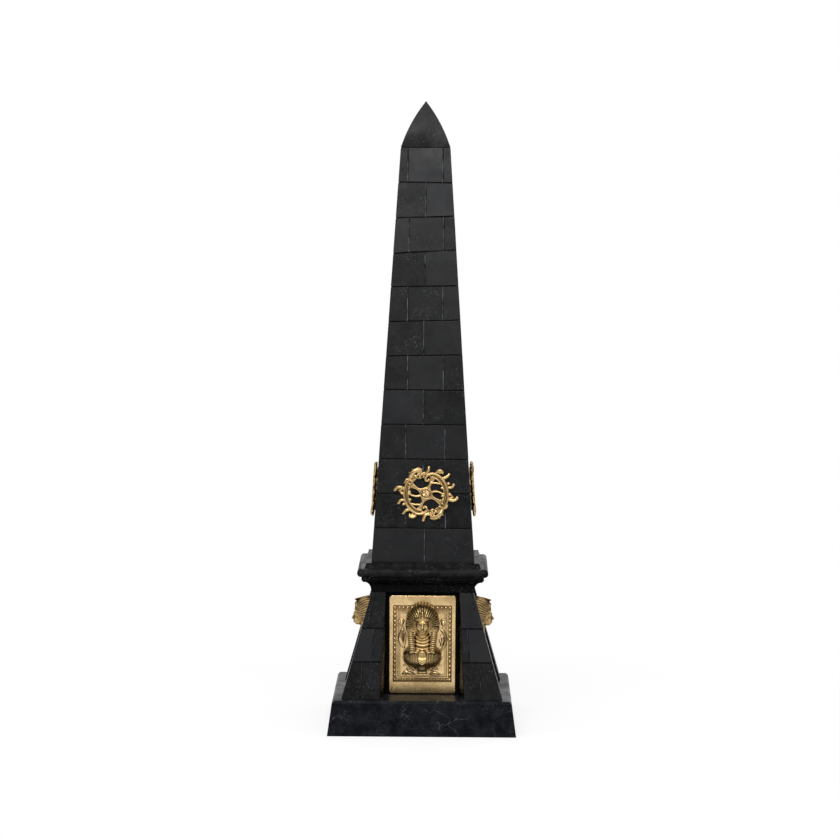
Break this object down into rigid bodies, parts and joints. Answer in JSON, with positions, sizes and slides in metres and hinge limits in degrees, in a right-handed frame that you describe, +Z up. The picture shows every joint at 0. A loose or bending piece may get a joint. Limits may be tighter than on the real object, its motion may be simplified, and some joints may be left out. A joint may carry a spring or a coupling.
{
  "type": "model obelisk",
  "caption": "Tabletop model obelisk: tapering black marble shaft with a pointed cap on a moulded cornice and battered pedestal, with brass wreaths and niche plaques with busts",
  "frame": {"origin": "middle of the underside of the plinth", "axes": "+Z up along the shaft, the front side faces -Y, +X to the right seen from the front"},
  "size_m": [0.2272, 0.2272, 0.762],
  "materials": {
    "polished_marble": "polished black marble",
    "tile_marble": "satin black marble tiles",
    "hidden_core": "unpolished black stone",
    "plaque_brass": "pale polished brass with patina in the recesses",
    "bust_brass": "darker antique brass",
    "wreath_brass": "cast brass, bright on the high points"
  },
  "bodies": {
    "root": {"plinth": "polished_marble", "pedestal_core": "hidden_core", "corner_pier_front_right": "tile_marble", "corner_pier_back_right": "tile_marble", "corner_pier_back_left": "tile_marble", "corner_pier_front_left": "tile_marble", "plaque_front": "plaque_brass", "plaque_right": "plaque_brass", "plaque_back": "plaque_brass", "plaque_left": "plaque_brass", "bust_front": "bust_brass", "bust_right": "bust_brass", "bust_back": "bust_brass", "bust_left": "bust_brass", "cornice_cavetto": "polished_marble", "cornice_fillet": "polished_marble", "cornice_slab": "polished_marble", "cornice_top_step": "polished_marble", "shaft_core": "hidden_core", "shaft_facing_front": "tile_marble", "shaft_facing_right": "tile_marble", "shaft_facing_back": "tile_marble", "shaft_facing_left": "tile_marble", "pyramidion": "polished_marble", "wreath_front": "wreath_brass", "wreath_right": "wreath_brass", "wreath_back": "wreath_brass", "wreath_left": "wreath_brass", "wreath_boss_front": "wreath_brass", "wreath_boss_right": "wreath_brass", "wreath_boss_back": "wreath_brass", "wreath_boss_left": "wreath_brass"}
  },
  "joints": []
}
